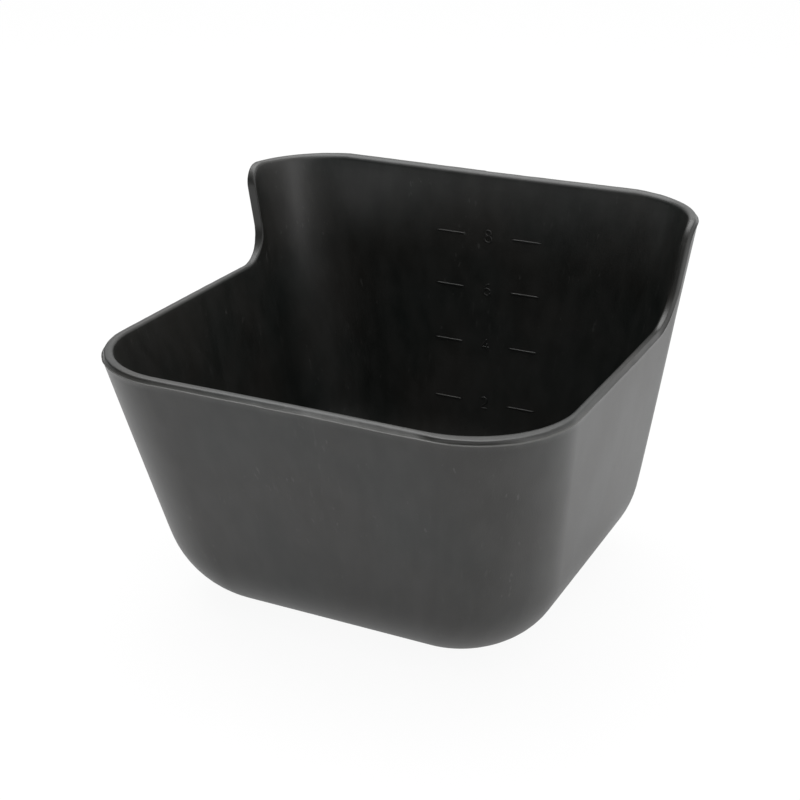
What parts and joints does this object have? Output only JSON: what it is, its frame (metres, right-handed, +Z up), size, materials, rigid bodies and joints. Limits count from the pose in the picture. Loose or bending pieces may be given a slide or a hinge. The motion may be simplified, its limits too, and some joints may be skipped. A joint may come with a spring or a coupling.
{
  "type": "feed trough",
  "caption": "Thick-walled moulded feed tub with a low front, a high back that wraps round both rear corners, rounded lip and raised level bars inside the back.",
  "frame": {"origin": "centre of the overall box, on the surface that the trough stands on", "axes": "+Z up, +X to the right seen from the low front, -Y out of the low front, +Y towards the high back"},
  "size_m": [0.277, 0.2515, 0.2123],
  "materials": {
    "moulded_rubber": "satin"
  },
  "bodies": {
    "root": {"tub": "moulded_rubber"}
  },
  "joints": []
}
